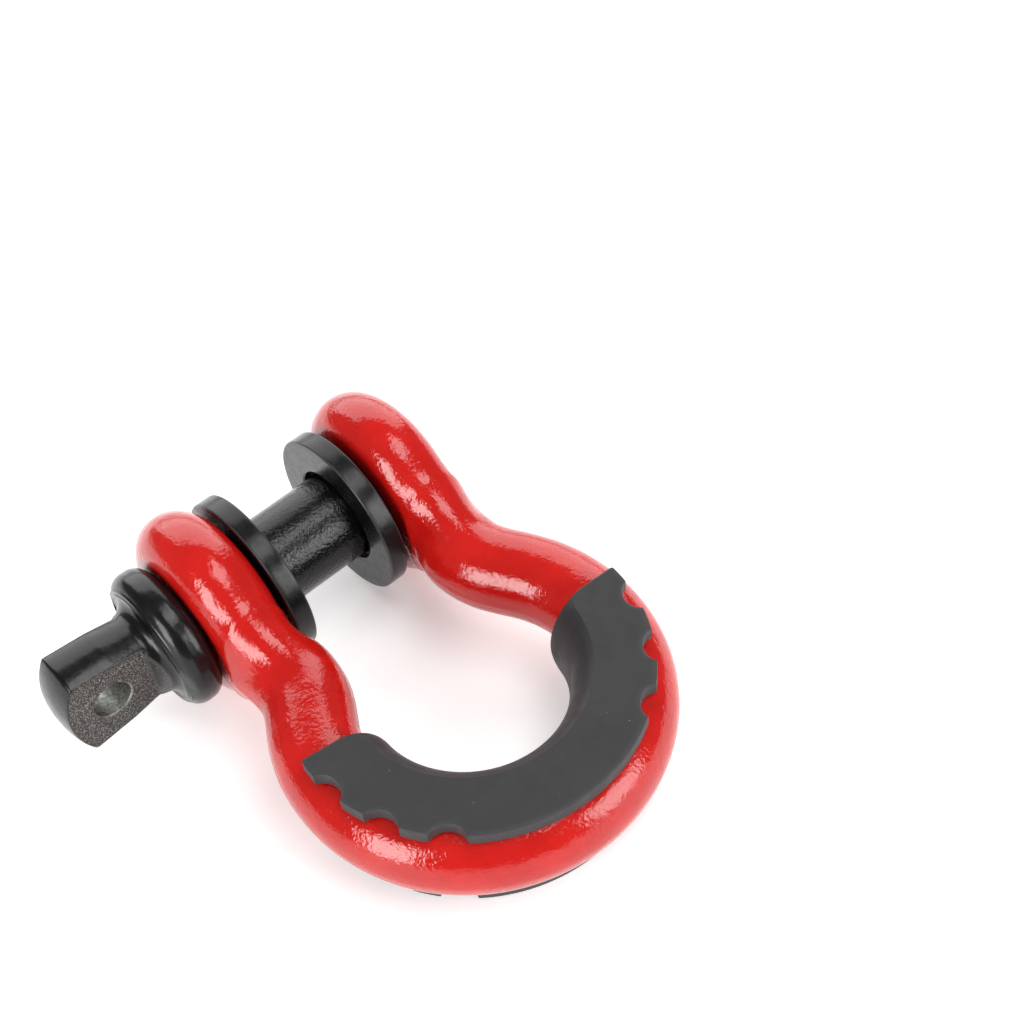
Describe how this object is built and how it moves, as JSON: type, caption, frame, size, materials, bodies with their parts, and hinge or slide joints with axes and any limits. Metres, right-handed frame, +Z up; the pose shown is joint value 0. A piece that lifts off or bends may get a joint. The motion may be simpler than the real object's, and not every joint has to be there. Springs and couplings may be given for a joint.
{
  "type": "bow shackle",
  "caption": "Bow shackle with a screw pin through two round ears, loose washers in the jaw and a moulded guard round the crown of the bow.",
  "frame": {"origin": "on the surface the shackle lies on, under the middle of its outline", "axes": "+X from the pin to the crown of the bow, +Y along the pin from its head to its threaded tip, +Z up"},
  "size_m": [0.1304, 0.1141, 0.048],
  "materials": {
    "red_paint": "glossy paint over a rough forging",
    "black_paint": "semi-gloss black paint",
    "washer_black": "satin, with fine turning lines",
    "guard_rubber": "matte moulded"
  },
  "bodies": {
    "bow": {"bow_body": "red_paint"},
    "pin": {"screw_pin": "black_paint"},
    "head_washer": {"head_side_washer": "washer_black"},
    "tip_washer": {"tip_side_washer": "washer_black"},
    "guard": {"bow_guard": "guard_rubber"}
  },
  "joints": [
    {"name": "pin_withdrawal", "type": "slide", "parent": "bow", "child": "pin", "axis": [0, -1, 0], "range_m": [0, 0.07]},
    {"name": "head_washer_slide", "type": "slide", "parent": "bow", "child": "head_washer", "axis": [0, 1, 0], "range_m": [-0.0004, 0.011]},
    {"name": "tip_washer_slide", "type": "slide", "parent": "bow", "child": "tip_washer", "axis": [0, 1, 0], "range_m": [-0.011, 0.0015]},
    {"name": "guard_turn", "type": "hinge", "parent": "bow", "child": "guard", "pos_m": [0.02028, 0.01195, 0.01784], "axis": [0.0997, 0, 0.995], "range_deg": [-12, 25]}
  ]
}
